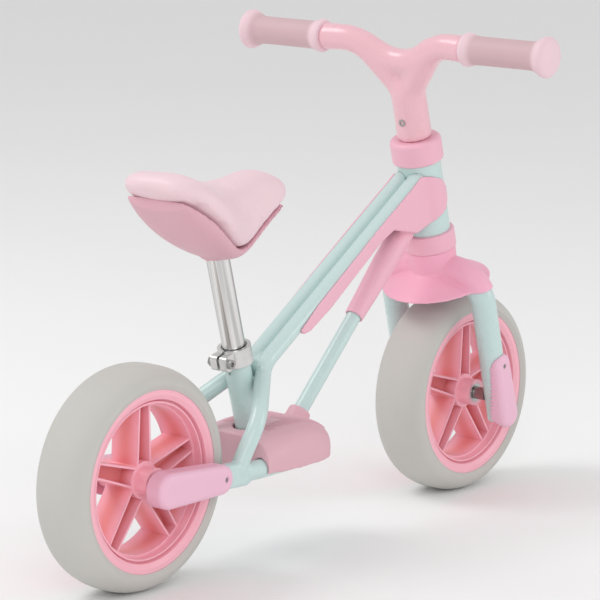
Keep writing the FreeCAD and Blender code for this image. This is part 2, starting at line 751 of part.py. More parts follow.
def build_stays():
    blank = stay_blank()
    bow_radius = BOW_TUBE_DIAMETER / 2
    bow_rod = rod_along(bow_path(), bow_radius)
    axle_spot = Vec(0, 0, WHEEL_RADIUS) + Vec(REAR_X, 0, 0)
    local_axle = STAYS.inverse().multVec(axle_spot)
    hole = cross_bar(AXLE_DIAMETER / 2, 100, local_axle.x, local_axle.z)
    recess = cylinder(
        STAY_RECESS_RADIUS, 20, Vec(local_axle.x, STAY_RECESS_Y, local_axle.z), Y_AXIS
    )
    stay = blank.cut(hole).cut(bow_rod).cut(recess)
    for name, side in SIDES:
        save("chainstay_" + name, placed(on_side(stay, side), STAYS))
    bow = tube_along(bow_path(), bow_radius, BOW_TUBE_WALL)
    for _, side in SIDES:
        plug_base = Vec(BOW_START, side * STAY_HALF_SPACING, 0)
        bow = bow.fuse(cylinder(bow_radius - BOW_TUBE_WALL, BOW_PLUG, plug_base, X_AXIS))
    save("bottom_bow", placed(bow, STAYS))

    plate = bottom_plate().cut(bow_rod)
    for x, y in footrest_screw_spots():
        plate = plate.cut(cylinder(2.0, 30.0, Vec(x, y, -BOW_TUBE_DIAMETER)))
        head_top = -BOW_TUBE_DIAMETER / 2 + SCREW_HEAD_HEIGHT
        head_room = cylinder(SCREW_HEAD_RADIUS, 20.0, Vec(x, y, head_top), Z_AXIS * -1)
        plate = plate.cut(head_room)
    save("bottom_plate", placed(plate, STAYS))
    build_rear_covers(local_axle)
    return blank, bow_rod


def footrest_screw_spots():
    spots = []
    for along in (SEAT_FOOT_ALONG + 40.0, SEAT_FOOT_ALONG + 70.0):
        for side in (1, -1):
            spots.append((along, side * 12.0))
    return spots


def bottom_plate():
    """Welded plate that closes the bow from below and carries the uprights."""
    start = SEAT_FOOT_ALONG - 28.0
    end = SEAT_FOOT_ALONG + 81.0
    half_start = STAY_HALF_SPACING - 4.0
    half_end = BOW_NOSE_HALF - 4.0
    base = -BOW_TUBE_DIAMETER / 2
    corners = [
        Vec(start, half_start, base),
        Vec(end, half_end, base),
        Vec(end, -half_end, base),
        Vec(start, -half_start, base),
    ]
    face = Part.Face(Part.makePolygon(corners + [corners[0]]))
    return face.extrude(Vec(0, 0, PLATE_THICKNESS))


def build_rear_covers(local_axle):
    """Moulded covers round the stay ends and the rear axle nuts."""
    outer_stay = STAY_HALF_SPACING + STAY_THICKNESS / 2
    inner = STAY_HALF_SPACING - STAY_THICKNESS / 2 - 1.6
    outer = STAY_RECESS_Y + AXLE_NUT_HEIGHT + 3.0 + END_COVER_SKIN
    rear_radius = STAY_HEIGHT / 2 + END_COVER_SKIN + 2.2
    front_radius = STAY_HEIGHT / 2 + END_COVER_SKIN - 1.0
    length = REAR_COVER_LENGTH - rear_radius - front_radius
    body = capsule((0, 0), (length, 0), rear_radius, front_radius, outer - inner, inner)
    body = body.makeFillet(6.5, edges_where(body, lambda b: b.YMin > outer - 0.1))
    room = capsule(
        (0, 0), (200, 0), STAY_HEIGHT / 2 + SKIN_GAP, STAY_HEIGHT / 2 + SKIN_GAP,
        STAY_THICKNESS + 2 * SKIN_GAP,
        STAY_HALF_SPACING - STAY_THICKNESS / 2 - SKIN_GAP,
    )
    body = body.cut(room)
    nut_room_radius = AXLE_NUT_FLATS / math.sqrt(3) + NUT_ROOM_GAP
    nut_room = cylinder(
        nut_room_radius,
        AXLE_NUT_HEIGHT + 2.8,
        Vec(local_axle.x, STAY_RECESS_Y, local_axle.z),
        Y_AXIS,
    )
    hub_room = cylinder(
        AXLE_DIAMETER / 2 + 4.5, 20, Vec(local_axle.x, inner - 10, local_axle.z), Y_AXIS
    )
    screw_x = length + 4.0
    screw_seat = outer_stay + 1.8
    deep = cylinder(3.2, 40, Vec(screw_x, screw_seat, 0), Y_AXIS)
    narrow = cylinder(1.7, 20, Vec(screw_x, outer_stay - 2.0, 0), Y_AXIS)
    body = body.cut(nut_room).cut(hub_room).cut(deep).cut(narrow)
    screws = []
    for name, side in SIDES:
        save("rear_end_cover_" + name, placed(on_side(body, side), STAYS))
        seat = Vec(screw_x, side * screw_seat, 0)
        screws.append(cap_screw(1.7, 1.6, 3.0, 1.4, seat, Y_AXIS * side))
    save("rear_cover_screws", placed(Part.makeCompound(screws), STAYS))


def seat_tube_rod(gap):
    return placed(
        cylinder(SEAT_TUBE_RADIUS + gap, SEAT_TUBE_TOP + 60, Vec(0, 0, -60)), SEAT
    )


def build_frame_tubes(stay, bow_rod):
    stay_here = placed(stay, STAYS)
    bow_here = placed(bow_rod, STAYS)
    path = bent_path(main_tube_points(), MAIN_TUBE_BEND)
    outer = rod_along(path, MAIN_RADIUS)
    tube = tube_along(path, MAIN_RADIUS, MAIN_TUBE_WALL)
    tube = tube.cut(head_block(0)).cut(stay_here).cut(bow_here)
    tube = max(tube.Solids, key=lambda s: s.Volume)
    for name, side in SIDES:
        save("main_tube_" + name, on_side(tube, side))

    top, foot = down_tube_ends()
    direction = (foot - top).normalize()
    plate_top = STAYS.multVec(
        Vec(SEAT_FOOT_ALONG, 0, -BOW_TUBE_DIAMETER / 2 + PLATE_THICKNESS)
    )
    down_length = (top - foot).Length
    radius = DOWN_TUBE_DIAMETER / 2
    down = cylinder(radius, down_length + 40, top, direction)
    hollow = cylinder(radius - 1.6, down_length + 60, top - direction, direction)
    below = Part.makeBox(400, 200, 100, Vec(-200, -100, -100))
    below = placed(below, FreeCAD.Placement(
        plate_top, FreeCAD.Rotation(Y_AXIS, STAY_PITCH)))
    down = down.cut(hollow).cut(below).cut(head_block(0))
    down = down.cut(outer).cut(mirrored(outer))
    down = max(down.Solids, key=lambda s: s.Volume)
    save("down_tube", down)

    tube_wall_rod = cylinder(SEAT_TUBE_RADIUS, SEAT_TUBE_TOP + 60, Vec(0, 0, -60))
    post_bore = cylinder(SEATPOST_RADIUS + RUNNING, SEAT_TUBE_TOP + 100, Vec(0, 0, -80))
    slot = Part.makeBox(30, 2.6, 26, Vec(-31, -1.3, SEAT_TUBE_TOP - 26))
    seat_tube = placed(tube_wall_rod.cut(post_bore).cut(slot), SEAT).cut(below)
    save("seat_tube", seat_tube)

    build_seat_gusset(outer)
    build_shells(top, direction)


def build_seat_gusset(main_rod):
    """Plate webs that tie the seat tube to the two main tubes."""
    low = SEAT_TUBE_TOP - 72.0
    high = SEAT_TUBE_TOP - 26.0
    web = slab([(0, high), (62, high), (62, high - 10.0), (0, low)], 3.0, -1.5)
    web = placed(web, SEAT)
    bridge = Part.makeBox(3.0, 40.0, 16.0, Vec(SEAT_TUBE_RADIUS + 1.0, -20.0, high - 16))
    bridge = placed(bridge, SEAT)
    gusset = web.fuse(bridge).cut(seat_tube_rod(0))
    gusset = gusset.cut(main_rod).cut(mirrored(main_rod))
    gusset = max(gusset.Solids, key=lambda s: s.Volume)
    save("seat_tube_gusset", gusset)


def build_shells(down_top, down_direction):
    """Left and right shells over the head joint, and the down tube sleeve."""
    thick = DOWN_SLEEVE_DIAMETER / 2
    thin = DOWN_TUBE_DIAMETER / 2 + SHELL_SKIN
    crotch = 52.0
    taper_start = down_top + down_direction * 100.0
    sleeve = cylinder(thick, 100.0 - crotch, down_top + down_direction * crotch, down_direction)
    sleeve = sleeve.fuse(Part.makeCone(thick, thin, 80.0, taper_start, down_direction))
    core = cylinder(DOWN_TUBE_DIAMETER / 2 + SKIN_GAP, 400, down_top, down_direction)
    left_room, right_room = main_tube_rods(SKIN_GAP)
    sleeve = sleeve.cut(core).cut(left_room).cut(right_room).cut(head_block(SKIN_GAP))
    sleeve = max(sleeve.Solids, key=lambda s: s.Volume)
    save("down_tube_sleeve", sleeve)

    head = STEERING.multVec(Vec(0, 0, HEAD_BASE))
    outline = [
        (-42.4, 68.0),
        (-27.4, 67.0),
        (-10.4, 62.0),
        (-0.4, 53.0),
        (2.6, 40.0),
        (-3.4, 27.0),
        (-20.4, 13.0),
        (-50.4, 3.0),
        (-94.4, 12.0),
        (-117.4, 1.0),
        (-171.4, -36.0),
        (-207.4, -61.0),
        (-244.4, -82.0),
        (-255.4, -84.0),
        (-262.4, -79.0),
        (-230.4, -54.0),
        (-186.4, -25.0),
        (-123.4, 16.0),
        (-58.4, 57.0),
    ]
    points = [(head.x + x, head.z + z) for x, z in outline]
    thickness = MAIN_RADIUS + SHELL_SKIN
    shell = slab(points, thickness, MAIN_HALF_SPACING)
    wrap_depth = HEAD_TUBE_DIAMETER / 2 + SHELL_SKIN - MAIN_HALF_SPACING
    wrap = slab(points, wrap_depth, MAIN_HALF_SPACING).common(head_block(SHELL_SKIN))
    shell = shell.fuse(wrap)
    shell = shell.cut(left_room).cut(core).cut(head_block(SKIN_GAP)).cut(sleeve)
    collar = placed(
        cylinder(COLLAR_DIAMETER / 2 + SIDE_GAP, 70, Vec(0, 0, HEAD_BASE - 70)), STEERING
    )
    upper = placed(
        cylinder(COLLAR_DIAMETER / 2 + SIDE_GAP, 70, Vec(0, 0, HEAD_TOP)), STEERING
    )
    shell = shell.cut(collar).cut(upper)
    shell = max(shell.Solids, key=lambda s: s.Volume)
    for name, side in SIDES:
        save("frame_shell_" + name, on_side(shell, side))


# ---- footrest ----
def footrest_body(rear, inset, base):
    """Smooth hump lofted along the bike, shrunk on all sides by the inset."""
    shape = [
        (0.0, 0.98, 0.80),
        (0.22, 1.0, 0.92),
        (0.42, 0.97, 1.0),
        (0.60, 0.92, 0.98),
        (0.76, 0.82, 0.86),
        (0.89, 0.62, 0.64),
        (0.97, 0.38, 0.42),
        (1.0, 0.16, 0.28),
    ]
    sections = []
    for along, wide, tall in shape:
        x = rear + inset + (FOOTREST_LENGTH - 2 * inset) * along
        half = FOOTREST_REAR_HALF * wide - inset
        top = FOOTREST_CROWN * tall - inset
        corner = Vec(x, half, base)
        points = [corner]
        for k in range(1, 12):
            turn = math.pi * k / 12
            y = half * math.copysign(abs(math.cos(turn)) ** 0.55, math.cos(turn))
            z = base + (top - base) * math.sin(turn) ** 0.62
            points.append(Vec(x, y, z))
        points.append(Vec(x, -half, base))
        curve = Part.BSplineCurve()
        curve.interpolate(points)
        floor = Part.LineSegment(points[-1], corner).toShape()
        sections.append(Part.Wire([curve.toShape(), floor]))
    return Part.makeLoft(sections, True, False)


def build_footrest(stay):
    """Convex cover on the bow, ribbed on top, with a boss round the down tube."""
    rear = SEAT_FOOT_ALONG - 46.0
    base = -4.5
    outer = footrest_body(rear, 0.0, base)
    hollow = footrest_body(rear, FOOTREST_SKIN, base - 5.0)
    shell = placed(outer.cut(hollow), STAYS)

    top, foot = down_tube_ends()
    direction = (foot - top).normalize()
    boss_radius = DOWN_TUBE_DIAMETER / 2 + 4.5
    level = STAYS.multVec(Vec(SEAT_FOOT_ALONG, 0, FOOTREST_CROWN))
    along = (top.z - level.z + 4.0) / -direction.z
    boss = cylinder(boss_radius, 26.0, top + direction * along, direction)
    shell = shell.fuse(boss)
    clear_down = cylinder(DOWN_TUBE_DIAMETER / 2 + SKIN_GAP, 600, top, direction)
    shell = shell.cut(clear_down).cut(seat_tube_rod(SEAT_TUBE_HOLE_GAP))
    left_room, right_room = main_tube_rods(FOOTREST_TUBE_GAP)
    shell = shell.cut(left_room).cut(right_room)
    bow_room = placed(rod_along(bow_path(), BOW_TUBE_DIAMETER / 2 + SKIN_GAP), STAYS)
    stay_room = placed(stay, STAYS)
    shell = shell.cut(bow_room).cut(stay_room).cut(mirrored(stay_room))
    shell = max(shell.Solids, key=lambda s: s.Volume)
    save("footrest", shell)

    screws = []
    for x, y in footrest_screw_spots():
        seat = Vec(x, y, -BOW_TUBE_DIAMETER / 2 + SCREW_HEAD_HEIGHT)
        length = PLATE_THICKNESS + 4.0
        screws.append(
            cap_screw(2.0, length, SCREW_HEAD_RADIUS, SCREW_HEAD_HEIGHT, seat, Z_AXIS * -1)
        )
    save("footrest_screws", placed(Part.makeCompound(screws), STAYS))


# ---- seat: local frame at the seat tube's foot, Z up the tube ----
def build_seat():
    clamp_base = SEAT_TUBE_TOP - SEAT_CLAMP_HEIGHT + 3.0
    outer = SEAT_CLAMP_DIAMETER / 2
    band = cylinder(outer, SEAT_CLAMP_HEIGHT, Vec(0, 0, clamp_base))
    ears = Part.makeBox(
        17.0, 22.0, SEAT_CLAMP_HEIGHT - 3.0, Vec(-outer - 11.0, -11.0, clamp_base + 1.5)
    )
    ears = ears.makeFillet(4.0, edges_where(ears, lambda b: b.XMax < -outer - 10.9 and b.YLength > 21))
    clamp = band.fuse(ears)
    clamp = clamp.cut(cylinder(SEAT_TUBE_RADIUS, 60, Vec(0, 0, clamp_base - 20)))
    lip_room = cylinder(SEATPOST_RADIUS + 0.5, 60, Vec(0, 0, clamp_base - 20))
    clamp = clamp.cut(lip_room)
    slit = Part.makeBox(40.0, 3.4, 60.0, Vec(-outer - 20.0, -1.7, clamp_base - 20))
    clamp = clamp.cut(slit)
    bolt_x = -outer - 5.0
    bolt_z = clamp_base + SEAT_CLAMP_HEIGHT / 2
    bolt_hole = cross_bar(3.0, 40, bolt_x, bolt_z)
    clamp = clamp.cut(bolt_hole)
    save("seat_clamp", placed(clamp, SEAT))
    seat = Vec(bolt_x, -11.0, bolt_z)
    bolt = cap_screw(3.0, 23.0, 5.2, 4.0, seat, Y_AXIS * -1)
    save("seat_clamp_bolt", placed(bolt, SEAT))
    nut = hex_nut(10.0, 4.5, 3.0, Vec(bolt_x, 11.0, bolt_z), Y_AXIS)
    save("seat_clamp_nut", placed(nut, SEAT))

    post_base = SEAT_TUBE_TOP - SEATPOST_INSERTION
    post_top = SADDLE_SOCKET_HEIGHT + 6.0
    post = ring(
        SEATPOST_RADIUS, SEATPOST_RADIUS - SEATPOST_WALL, post_top - post_base,
        Vec(0, 0, post_base),
    )
    save("seatpost", placed(post, SEAT))
    build_saddle(post_top)


def saddle_stations():
    """(x, half width, top, edge, keel) along the saddle, from tail to nose."""
    return [
        (-264.0, 26.0, 428.0, 419.0, 415.0),
        (-252.0, 45.0, 436.0, 411.0, 396.0),
        (-230.0, 56.0, 434.0, 398.0, 374.0),
        (-205.0, 58.0, 423.0, 381.0, 354.0),
        (-180.0, 52.0, 416.0, 363.0, 341.0),
        (-155.0, 42.0, 415.0, 350.0, 333.5),
        (-130.0, 33.0, 419.0, 350.0, 338.5),
        (-105.0, 28.0, 424.0, 362.0, 353.0),
        (-80.0, 25.0, 421.0, 376.0, 368.5),
        (-60.0, 20.0, 413.0, 386.0, 379.0),
        (-48.0, 12.0, 403.0, 391.0, 388.0),
    ]


def pad_section(x, half, top, edge):
    """Closed cross-section of the pad: crowned top, draped sides, flat below."""
    height = top - edge
    outline = [
        (0.0, 1.0),
        (0.5, 0.96),
        (0.85, 0.78),
        (1.0, 0.42),
        (0.96, 0.1),
        (0.8, 0.0),
        (0.0, 0.0),
        (-0.8, 0.0),
        (-0.96, 0.1),
        (-1.0, 0.42),
        (-0.85, 0.78),
        (-0.5, 0.96),
    ]
    points = [Vec(x, half * a, edge + height * b) for a, b in outline]
    curve = Part.BSplineCurve()
    curve.interpolate(points, True)
    return Part.Wire([curve.toShape()])


def base_section(x, half, edge, keel):
    """Closed cross-section of the seat shell: a flat top below the pad's edge."""
    level = edge - SADDLE_SEAM
    depth = level - keel
    outline = [
        (1.0, 0.0),
        (0.95, 0.3),
        (0.55, 0.85),
        (0.0, 1.0),
        (-0.55, 0.85),
        (-0.95, 0.3),
        (-1.0, 0.0),
    ]
    points = [Vec(x, half * a, level - depth * b) for a, b in outline]
    curve = Part.BSplineCurve()
    curve.interpolate(points)
    lid = Part.LineSegment(points[-1], points[0]).toShape()
    return Part.Wire([curve.toShape(), lid])


def build_saddle(post_top):
    stations = saddle_stations()
    pad = Part.makeLoft([pad_section(*s[:4]) for s in stations], True, False)
    sections = []
    for x, half, _, edge, keel in stations[1:-1]:
        sections.append(base_section(x, half * SADDLE_BASE_SHARE, edge, keel))
    base = Part.makeLoft(sections, True, False)
    socket = placed(cylinder(SEATPOST_RADIUS + 5.0, 40, Vec(0, 0, SADDLE_SOCKET_HEIGHT - 6)), SEAT)
    base = base.fuse(socket.cut(pad))
    post_room = placed(cylinder(SEATPOST_RADIUS, 200, Vec(0, 0, SADDLE_SOCKET_HEIGHT - 60)), SEAT)
    post_room = post_room.common(
        placed(Part.makeBox(60, 60, 200, Vec(-30, -30, post_top - 200)), SEAT)
    )
    pad = pad.cut(post_room)
    save("saddle_pad", pad)
    base = base.cut(post_room)
    base = max(base.Solids, key=lambda s: s.Volume)
    save("saddle_base", base)


def main():
    os.makedirs("parts", exist_ok=True)
    build_wheel("rear", REAR_X)
    build_wheel("front", FRONT_X)
    build_head()
    build_steering()
    stay, bow_rod = build_stays()
    build_frame_tubes(stay, bow_rod)
    inner_face = STAY_HALF_SPACING - STAY_THICKNESS / 2
    axle_set("rear", inner_face, STAY_RECESS_Y, FreeCAD.Placement(
        Vec(REAR_X, 0, WHEEL_RADIUS), FreeCAD.Rotation()))
    build_footrest(stay)
    build_seat()


main()
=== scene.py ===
import json
import math

import bmesh
import bpy
from mathutils import Matrix, Vector
from mathutils.bvhtree import BVHTree


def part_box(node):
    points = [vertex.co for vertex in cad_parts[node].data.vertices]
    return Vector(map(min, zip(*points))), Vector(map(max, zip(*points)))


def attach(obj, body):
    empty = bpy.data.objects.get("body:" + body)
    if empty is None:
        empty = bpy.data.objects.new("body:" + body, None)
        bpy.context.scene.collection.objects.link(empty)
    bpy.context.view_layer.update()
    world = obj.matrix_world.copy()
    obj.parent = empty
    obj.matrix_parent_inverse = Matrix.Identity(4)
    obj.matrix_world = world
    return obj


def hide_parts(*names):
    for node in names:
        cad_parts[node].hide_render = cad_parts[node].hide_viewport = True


# The looks of a child's balance bike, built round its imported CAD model. Metres.
# X forward, Y to the rider's left, Z up.

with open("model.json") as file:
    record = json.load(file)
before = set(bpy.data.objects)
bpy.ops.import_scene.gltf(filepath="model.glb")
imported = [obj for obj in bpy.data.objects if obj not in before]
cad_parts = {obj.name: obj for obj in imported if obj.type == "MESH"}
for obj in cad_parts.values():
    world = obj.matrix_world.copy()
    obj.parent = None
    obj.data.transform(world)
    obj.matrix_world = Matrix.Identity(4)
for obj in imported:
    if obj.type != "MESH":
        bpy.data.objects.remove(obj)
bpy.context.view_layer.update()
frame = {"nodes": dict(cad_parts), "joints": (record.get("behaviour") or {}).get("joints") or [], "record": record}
MM = 0.001
PUFF_FRAMES = 20
PUFF_PRESSURE = 6.0
RIB_SIDES = 8

# ---- places read from the frame ----
JOINTS = {j["name"]: j for j in frame["joints"]}
STEER_ORIGIN = Vector(JOINTS["steering_turn"]["pos_m"])
STEER_UP = Vector(JOINTS["steering_turn"]["axis"]).normalized()
SEAT_UP = Vector(JOINTS["seat_height"]["axis"]).normalized()
GRIP_LOW, GRIP_HIGH = (Vector(c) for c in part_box("grip_left"))
BAR_HIGH = Vector(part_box("handlebar")[1])


# ---- mesh helpers ----
def link(obj):
    bpy.context.scene.collection.objects.link(obj)
    return obj


def copy_of(nodes, name):
    """One new object holding copies of CAD nodes' meshes, with their seams closed."""
    joined = bmesh.new()
    for node in nodes:
        joined.from_mesh(frame["nodes"][node].data)
    bmesh.ops.remove_doubles(joined, verts=joined.verts, dist=0.01 * MM)
    mesh = bpy.data.meshes.new(name)
    joined.to_mesh(mesh)
    joined.free()
    return link(bpy.data.objects.new(name, mesh))


def from_bmesh(bm, name):
    mesh = bpy.data.meshes.new(name)
    bm.to_mesh(mesh)
    bm.free()
    return link(bpy.data.objects.new(name, mesh))


def bake_modifiers(obj):
    """Applies every modifier to the object's mesh."""
    graph = bpy.context.evaluated_depsgraph_get()
    mesh = bpy.data.meshes.new_from_object(obj.evaluated_get(graph))
    obj.modifiers.clear()
    old = obj.data
    obj.data = mesh
    bpy.data.meshes.remove(old)


def smooth_shaded(obj):
    for polygon in obj.data.polygons:
        polygon.use_smooth = True


def remesh(obj, voxel):
    modifier = obj.modifiers.new("remesh", "REMESH")
    modifier.mode = "VOXEL"
    modifier.voxel_size = voxel
    bake_modifiers(obj)


def relax(obj, passes, weight=None):
    """Smooths the mesh. weight gives each point's share from 0 to 1."""
    modifier = obj.modifiers.new("relax", "SMOOTH")
    modifier.factor = 0.5
    modifier.iterations = passes
    if weight:
        group = obj.vertex_groups.new(name="relax")
        for vertex in obj.data.vertices:
            group.add([vertex.index], weight(vertex.co), "REPLACE")
        modifier.vertex_group = "relax"
    bake_modifiers(obj)
    obj.vertex_groups.clear()
    smooth_shaded(obj)


def grow(obj, distance):
    """Moves every point along its normal."""
    normals = [v.normal.copy() for v in obj.data.vertices]
    for vertex, normal in zip(obj.data.vertices, normals):
        vertex.co += normal * distance
    obj.data.update()


def fill_creases(obj, voxel, reach):
    """Swells, merges and shrinks the mesh again, which rounds its inner corners."""
    remesh(obj, voxel)
    grow(obj, reach)
    remesh(obj, voxel)
    relax(obj, 4)
    grow(obj, -reach)
    remesh(obj, voxel)


def ramp(value, start, end):
    return min(max((value - start) / (end - start), 0.0), 1.0)


def along_steering(point):
    """Height up the steering axis, from the front axle."""
    return (point - STEER_ORIGIN).dot(STEER_UP)


# ---- material helpers ----
def new_material(name):
    material = bpy.data.materials.new(name)
    material.use_nodes = True
    tree = material.node_tree
    shader = tree.nodes["Principled BSDF"]
    return material, tree, shader


def rgb(red, green, blue):
    """Screen colour from 0 to 255 as a linear colour."""
    linear = []
    for value in (red, green, blue):
        share = value / 255
        low = share / 12.92
        high = ((share + 0.055) / 1.055) ** 2.4
        linear.append(low if share <= 0.04045 else high)
    return (*linear, 1.0)


def noise(tree, scale, detail=3.0, stretch=None):
    """Noise value. stretch draws it out, with its last figure along the seatpost."""
    coordinates = tree.nodes.new("ShaderNodeTexCoord")
    source = coordinates.outputs["Object"]
    if stretch:
        mapping = tree.nodes.new("ShaderNodeMapping")
        mapping.vector_type = "TEXTURE"
        mapping.inputs["Scale"].default_value = stretch
        mapping.inputs["Rotation"].default_value = (0, math.atan2(SEAT_UP.x, SEAT_UP.z), 0)
        tree.links.new(source, mapping.inputs["Vector"])
        source = mapping.outputs["Vector"]
    texture = tree.nodes.new("ShaderNodeTexNoise")
    texture.inputs["Scale"].default_value = scale
    texture.inputs["Detail"].default_value = detail
    tree.links.new(source, texture.inputs["Vector"])
    return texture.outputs["Fac"]


def spread(tree, factor, low, high):
    """Maps a texture's value to a range."""
    node = tree.nodes.new("ShaderNodeMapRange")
    node.inputs["From Min"].default_value = 0.3
    node.inputs["From Max"].default_value = 0.7
    node.inputs["To Min"].default_value = low
    node.inputs["To Max"].default_value = high
    tree.links.new(factor, node.inputs["Value"])
    return node.outputs["Result"]


def two_tone(tree, factor, first, second):
    node = tree.nodes.new("ShaderNodeMix")
    node.data_type = "RGBA"
    node.inputs["A"].default_value = first
    node.inputs["B"].default_value = second
    tree.links.new(factor, node.inputs["Factor"])
    return node.outputs["Result"]


def bump(tree, shader, height, distance, strength, edge=0.0):
    """Fine relief, and a rounded look on sharp edges when edge is a radius."""
    node = tree.nodes.new("ShaderNodeBump")
    node.inputs["Strength"].default_value = strength
    node.inputs["Distance"].default_value = distance
    tree.links.new(height, node.inputs["Height"])
    if edge:
        bevel = tree.nodes.new("ShaderNodeBevel")
        bevel.samples = 4
        bevel.inputs["Radius"].default_value = edge
        tree.links.new(bevel.outputs["Normal"], node.inputs["Normal"])
    tree.links.new(node.outputs["Normal"], shader.inputs["Normal"])


def shade(colour, amount):
    return tuple(c * amount for c in colour[:3]) + (1.0,)


def moulded(name, colour, rough=0.42, grain=0.12, edge=0.0):
    """Satin moulded plastic with a fine spark-eroded grain."""
    material, tree, shader = new_material(name)
    mottle = two_tone(tree, noise(tree, 18.0), shade(colour, 0.985), shade(colour, 1.015))
    tree.links.new(mottle, shader.inputs["Base Color"])
    tree.links.new(spread(tree, noise(tree, 60.0), rough - 0.04, rough + 0.04),
                   shader.inputs["Roughness"])
    shader.inputs["Specular IOR Level"].default_value = 0.45
    shader.inputs["Subsurface Weight"].default_value = 0.06
    shader.inputs["Subsurface Radius"].default_value = (0.004, 0.002, 0.002)
    shader.inputs["Subsurface Scale"].default_value = 1.0
    bump(tree, shader, noise(tree, 1600.0, 2.0), 0.00006, grain, edge)
    return material


def painted(name, colour):
    """Glossy powder coat with a very slight orange peel."""
    material, tree, shader = new_material(name)
    mottle = two_tone(tree, noise(tree, 9.0), shade(colour, 0.99), shade(colour, 1.01))
    tree.links.new(mottle, shader.inputs["Base Color"])
    tree.links.new(spread(tree, noise(tree, 40.0), 0.26, 0.32), shader.inputs["Roughness"])
    shader.inputs["Coat Weight"].default_value = 0.35
    shader.inputs["Coat Roughness"].default_value = 0.12
    bump(tree, shader, noise(tree, 260.0, 1.0), 0.0001, 0.08, 0.6 * MM)
    return material


def foam(name, colour):
    """Matt tyre foam with a soft, slightly uneven skin."""
    material, tree, shader = new_material(name)
    mottle = two_tone(tree, noise(tree, 14.0, 5.0), shade(colour, 0.965), shade(colour, 1.02))
    tree.links.new(mottle, shader.inputs["Base Color"])
    tree.links.new(spread(tree, noise(tree, 90.0), 0.62, 0.74), shader.inputs["Roughness"])
    shader.inputs["Specular IOR Level"].default_value = 0.3
    shader.inputs["Sheen Weight"].default_value = 0.08
    bump(tree, shader, noise(tree, 900.0, 4.0), 0.0002, 0.25)
    return material


def skin(name, colour):
    """Smooth synthetic saddle skin with a fine leather-like grain."""
    material, tree, shader = new_material(name)
    mottle = two_tone(tree, noise(tree, 12.0), shade(colour, 0.98), shade(colour, 1.01))
    tree.links.new(mottle, shader.inputs["Base Color"])
    tree.links.new(spread(tree, noise(tree, 70.0), 0.44, 0.52), shader.inputs["Roughness"])
    shader.inputs["Sheen Weight"].default_value = 0.1
    shader.inputs["Subsurface Weight"].default_value = 0.05
    shader.inputs["Subsurface Radius"].default_value = (0.005, 0.003, 0.003)
    shader.inputs["Subsurface Scale"].default_value = 1.0
    coordinates = tree.nodes.new("ShaderNodeTexCoord")
    cells = tree.nodes.new("ShaderNodeTexVoronoi")
    cells.inputs["Scale"].default_value = 900.0
    tree.links.new(coordinates.outputs["Object"], cells.inputs["Vector"])
    bump(tree, shader, cells.outputs["Distance"], 0.00008, 0.22)
    return material


def rubber(name, colour, pale):
    """Soft matt grip rubber, paler on the lip and the domed end."""
    material, tree, shader = new_material(name)
    mottle = two_tone(tree, noise(tree, 30.0), shade(colour, 0.96), shade(colour, 1.02))
    coordinates = tree.nodes.new("ShaderNodeTexCoord")
    parts = tree.nodes.new("ShaderNodeSeparateXYZ")
    tree.links.new(coordinates.outputs["Object"], parts.inputs["Vector"])
    off_middle = tree.nodes.new("ShaderNodeMath")
    off_middle.operation = "ABSOLUTE"
    tree.links.new(parts.outputs["Y"], off_middle.inputs[0])
    from_sleeve = tree.nodes.new("ShaderNodeMath")
    from_sleeve.operation = "SUBTRACT"
    tree.links.new(off_middle.outputs["Value"], from_sleeve.inputs[0])
    from_sleeve.inputs[1].default_value = (GRIP_LOW.y + GRIP_HIGH.y) / 2 - 2 * MM
    distance = tree.nodes.new("ShaderNodeMath")
    distance.operation = "ABSOLUTE"
    tree.links.new(from_sleeve.outputs["Value"], distance.inputs[0])
    band = tree.nodes.new("ShaderNodeMapRange")
    band.interpolation_type = "SMOOTHSTEP"
    half = (GRIP_HIGH.y - GRIP_LOW.y) / 2
    band.inputs["From Min"].default_value = half - 20 * MM
    band.inputs["From Max"].default_value = half - 10 * MM
    tree.links.new(distance.outputs["Value"], band.inputs["Value"])
    tone = two_tone(tree, band.outputs["Result"], colour, pale)
    tree.links.new(mottle, tone.node.inputs["A"])
    tree.links.new(tone, shader.inputs["Base Color"])
    tree.links.new(spread(tree, noise(tree, 120.0), 0.52, 0.62), shader.inputs["Roughness"])
    shader.inputs["Sheen Weight"].default_value = 0.1
    bump(tree, shader, noise(tree, 1100.0, 3.0), 0.00012, 0.25)
    return material


def metal(name, colour, rough, stretch, relief=0.1, edge=0.0, dark_streak_and_reflection=0.82):
    """Metal whose polishing marks are drawn out along the seatpost by the stretch; on the chrome post a very dark
    low tone paints reflections into the streaks as well.
    """
    material, tree, shader = new_material(name)
    shader.inputs["Metallic"].default_value = 1.0
    streaks = noise(tree, 40.0, 4.0, stretch)
    band = spread(tree, streaks, 0.0, 1.0)
    # the dark end of the streaks is polishing marks, and on the chrome post also painted reflections along its
    # length
    tone = two_tone(tree, band, shade(colour, dark_streak_and_reflection), shade(colour, 1.08))
    tree.links.new(tone, shader.inputs["Base Color"])
    tree.links.new(spread(tree, streaks, rough * 0.8, rough * 1.25), shader.inputs["Roughness"])
    bump(tree, shader, streaks, 0.00004, relief, edge)
    return material


